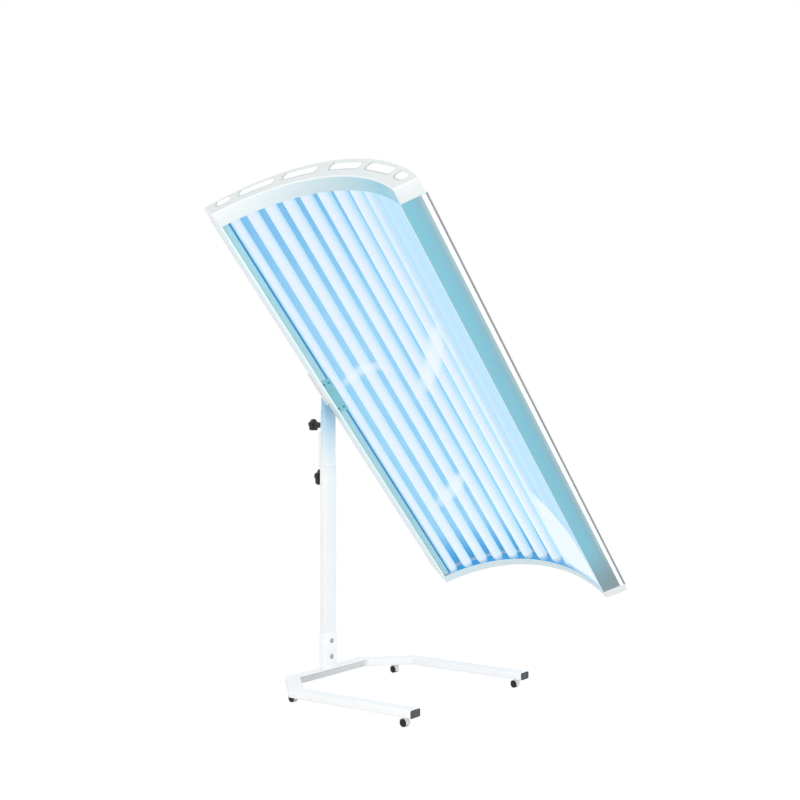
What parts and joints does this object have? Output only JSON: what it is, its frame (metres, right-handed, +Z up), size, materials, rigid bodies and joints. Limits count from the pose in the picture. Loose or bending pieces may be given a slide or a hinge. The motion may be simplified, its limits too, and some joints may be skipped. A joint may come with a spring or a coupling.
{
  "type": "tilting tanning canopy on a mobile stand",
  "caption": "Curved lamp canopy that tilts and rises on a telescopic mast over a castored C-shaped base.",
  "frame": {"origin": "on the floor, straight under the mast's centre line", "axes": "+X from the mast along the base legs, under the canopy; +Y to the left seen from behind the mast; +Z up"},
  "size_m": [0.9441, 1.4585, 1.7351],
  "materials": {
    "frame_white": "satin powder coat",
    "mast_white": "satin powder coat",
    "cap_white": "satin moulded",
    "shell_white": "satin paint on thin sheet",
    "rail_aluminium": "satin anodised",
    "trim_white": "gloss",
    "shield_clear": "clear acrylic sheet, polished",
    "reflector_bright": "bright",
    "lamp_glass": "phosphor coated, frosted",
    "lamp_metal": "satin",
    "holder_white": "moulded",
    "knob_black": "satin moulded",
    "wheel_black": "matt",
    "hood_grey": "satin",
    "plug_grey": "matt",
    "steel": "zinc plated",
    "dark_steel": "plain",
    "nylon_white": "nylon",
    "ballast_grey": "plain",
    "fan_black": "moulded",
    "plate_teal": "anodised"
  },
  "bodies": {
    "base": {"rear_crossbar": "frame_white", "base_corner_left": "frame_white", "base_corner_right": "frame_white", "base_leg_left": "frame_white", "base_leg_right": "frame_white", "leg_end_plugs": "plug_grey", "post_foot_sleeve": "frame_white", "foot_bolts": "steel", "outer_post": "mast_white", "lower_guide_collar": "nylon_white", "lower_clamp_boss": "mast_white", "gas_spring_cylinder": "fan_black", "caster_inserts": "nylon_white"},
    "middle_mast": {"middle_post": "mast_white", "upper_guide_collar": "nylon_white", "upper_clamp_boss": "mast_white", "lift_stop_block": "mast_white", "gas_spring_rod": "steel"},
    "head_mast": {"head_post": "mast_white", "head_post_cap": "nylon_white", "pivot_block": "dark_steel", "pivot_bush": "nylon_white"},
    "canopy": {"friction_washer": "fan_black", "pivot_shaft": "steel", "pivot_bracket": "frame_white", "rail_bolts": "dark_steel", "rail_bracket_plate": "plate_teal", "rail_post_side": "rail_aluminium", "rail_free_side": "rail_aluminium", "edge_trims": "trim_white", "back_shell": "shell_white", "reflector": "reflector_bright", "shield": "shield_clear", "head_end_cap": "cap_white", "foot_end_cap": "cap_white", "vent_grilles": "trim_white", "lamp_tubes": "lamp_glass", "lamp_caps": "lamp_metal", "lamp_holders": "holder_white", "lamp_bulkheads": "shell_white", "ballasts": "ballast_grey", "terminal_block": "holder_white", "mains_gland": "plug_grey", "fan_frame": "fan_black"},
    "fan": {"fan_rotor": "fan_black"},
    "lower_clamp": {"lower_clamp_knob": "knob_black", "lower_clamp_screw": "steel"},
    "upper_clamp": {"upper_clamp_knob": "knob_black", "upper_clamp_screw": "steel"},
    "tilt_lock": {"tilt_lock_knob": "knob_black"},
    "swivel_rear_left": {"caster_housing_rear_left": "hood_grey"},
    "wheels_rear_left": {"caster_wheels_rear_left": "wheel_black"},
    "swivel_rear_right": {"caster_housing_rear_right": "hood_grey"},
    "wheels_rear_right": {"caster_wheels_rear_right": "wheel_black"},
    "swivel_front_left": {"caster_housing_front_left": "hood_grey"},
    "wheels_front_left": {"caster_wheels_front_left": "wheel_black"},
    "swivel_front_right": {"caster_housing_front_right": "hood_grey"},
    "wheels_front_right": {"caster_wheels_front_right": "wheel_black"}
  },
  "joints": [
    {"name": "mast_lower_slide", "type": "slide", "parent": "base", "child": "middle_mast", "axis": [0, 0, 1], "range_m": [0, 0.25]},
    {"name": "mast_upper_slide", "type": "slide", "parent": "middle_mast", "child": "head_mast", "axis": [0, 0, 1], "range_m": [0, 0.15]},
    {"name": "canopy_tilt", "type": "hinge", "parent": "head_mast", "child": "canopy", "pos_m": [0, 0, 1.134], "axis": [1, 0, 0], "range_deg": [-45.5, 44.5]},
    {"name": "fan_spin", "type": "hinge", "parent": "canopy", "child": "fan", "pos_m": [0.68537, -0.59708, 1.65736], "axis": [0, -0.7133, 0.7009], "continuous": true},
    {"name": "tilt_lock_turn", "type": "hinge", "parent": "canopy", "child": "tilt_lock", "pos_m": [-0.02, 0, 1.134], "axis": [1, 0, 0], "range_deg": [0, 360]},
    {"name": "lower_clamp_turn", "type": "hinge", "parent": "base", "child": "lower_clamp", "pos_m": [-0.02, 0, 0.738], "axis": [1, 0, 0], "range_deg": [0, 360]},
    {"name": "upper_clamp_turn", "type": "hinge", "parent": "middle_mast", "child": "upper_clamp", "pos_m": [-0.02, 0, 0.927], "axis": [1, 0, 0], "range_deg": [0, 360]},
    {"name": "caster_swivel_rear_left", "type": "hinge", "parent": "base", "child": "swivel_rear_left", "pos_m": [0.093, 0.28786, 0.035], "axis": [0, 0, 1], "continuous": true},
    {"name": "caster_roll_rear_left", "type": "hinge", "parent": "swivel_rear_left", "child": "wheels_rear_left", "pos_m": [0.083, 0.28786, 0.0125], "axis": [0, 1, 0], "continuous": true},
    {"name": "caster_swivel_rear_right", "type": "hinge", "parent": "base", "child": "swivel_rear_right", "pos_m": [0.093, -0.28786, 0.035], "axis": [0, 0, 1], "continuous": true},
    {"name": "caster_roll_rear_right", "type": "hinge", "parent": "swivel_rear_right", "child": "wheels_rear_right", "pos_m": [0.083, -0.28786, 0.0125], "axis": [0, 1, 0], "continuous": true},
    {"name": "caster_swivel_front_left", "type": "hinge", "parent": "base", "child": "swivel_front_left", "pos_m": [0.5875, 0.3335, 0.035], "axis": [0, 0, 1], "continuous": true},
    {"name": "caster_roll_front_left", "type": "hinge", "parent": "swivel_front_left", "child": "wheels_front_left", "pos_m": [0.5775, 0.3335, 0.0125], "axis": [0, 1, 0], "continuous": true},
    {"name": "caster_swivel_front_right", "type": "hinge", "parent": "base", "child": "swivel_front_right", "pos_m": [0.5875, -0.3335, 0.035], "axis": [0, 0, 1], "continuous": true},
    {"name": "caster_roll_front_right", "type": "hinge", "parent": "swivel_front_right", "child": "wheels_front_right", "pos_m": [0.5775, -0.3335, 0.0125], "axis": [0, 1, 0], "continuous": true}
  ]
}
